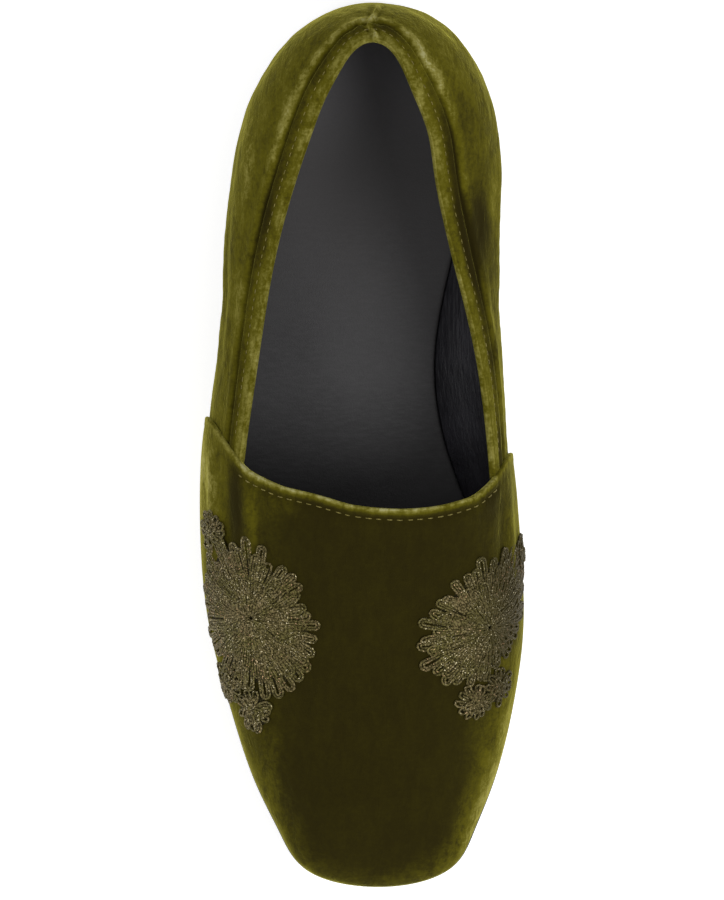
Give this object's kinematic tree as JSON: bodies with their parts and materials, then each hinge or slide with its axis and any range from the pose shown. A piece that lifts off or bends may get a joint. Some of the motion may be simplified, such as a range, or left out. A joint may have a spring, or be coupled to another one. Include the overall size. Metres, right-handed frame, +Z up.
{
  "type": "embroidered slip-on loafer",
  "caption": "Flat slip-on loafer for the right foot in olive velvet, with a lapped vamp, a banded collar, embroidered flowers on both sides of the toe and a thin sole with a low heel.",
  "frame": {"origin": "on the floor, under the middle of the shoe's bounding box", "axes": "+Z up, toe towards -Y, heel towards +Y, big toe side (medial) towards +X"},
  "size_m": [0.0924, 0.25, 0.0639],
  "materials": {
    "velvet": "olive green velvet pile, dark from the front and bright at grazing angles",
    "embroidery_thread": "raised bronze and olive loops of cord with a metallic fleck",
    "insole_leather": "matt charcoal leather with a fine grain",
    "sole": "satin black"
  },
  "bodies": {
    "root": {"upper": "velvet", "embroidery_lateral": "embroidery_thread", "embroidery_medial": "embroidery_thread", "insole": "insole_leather", "outsole": "sole", "heel": "sole"}
  },
  "joints": []
}
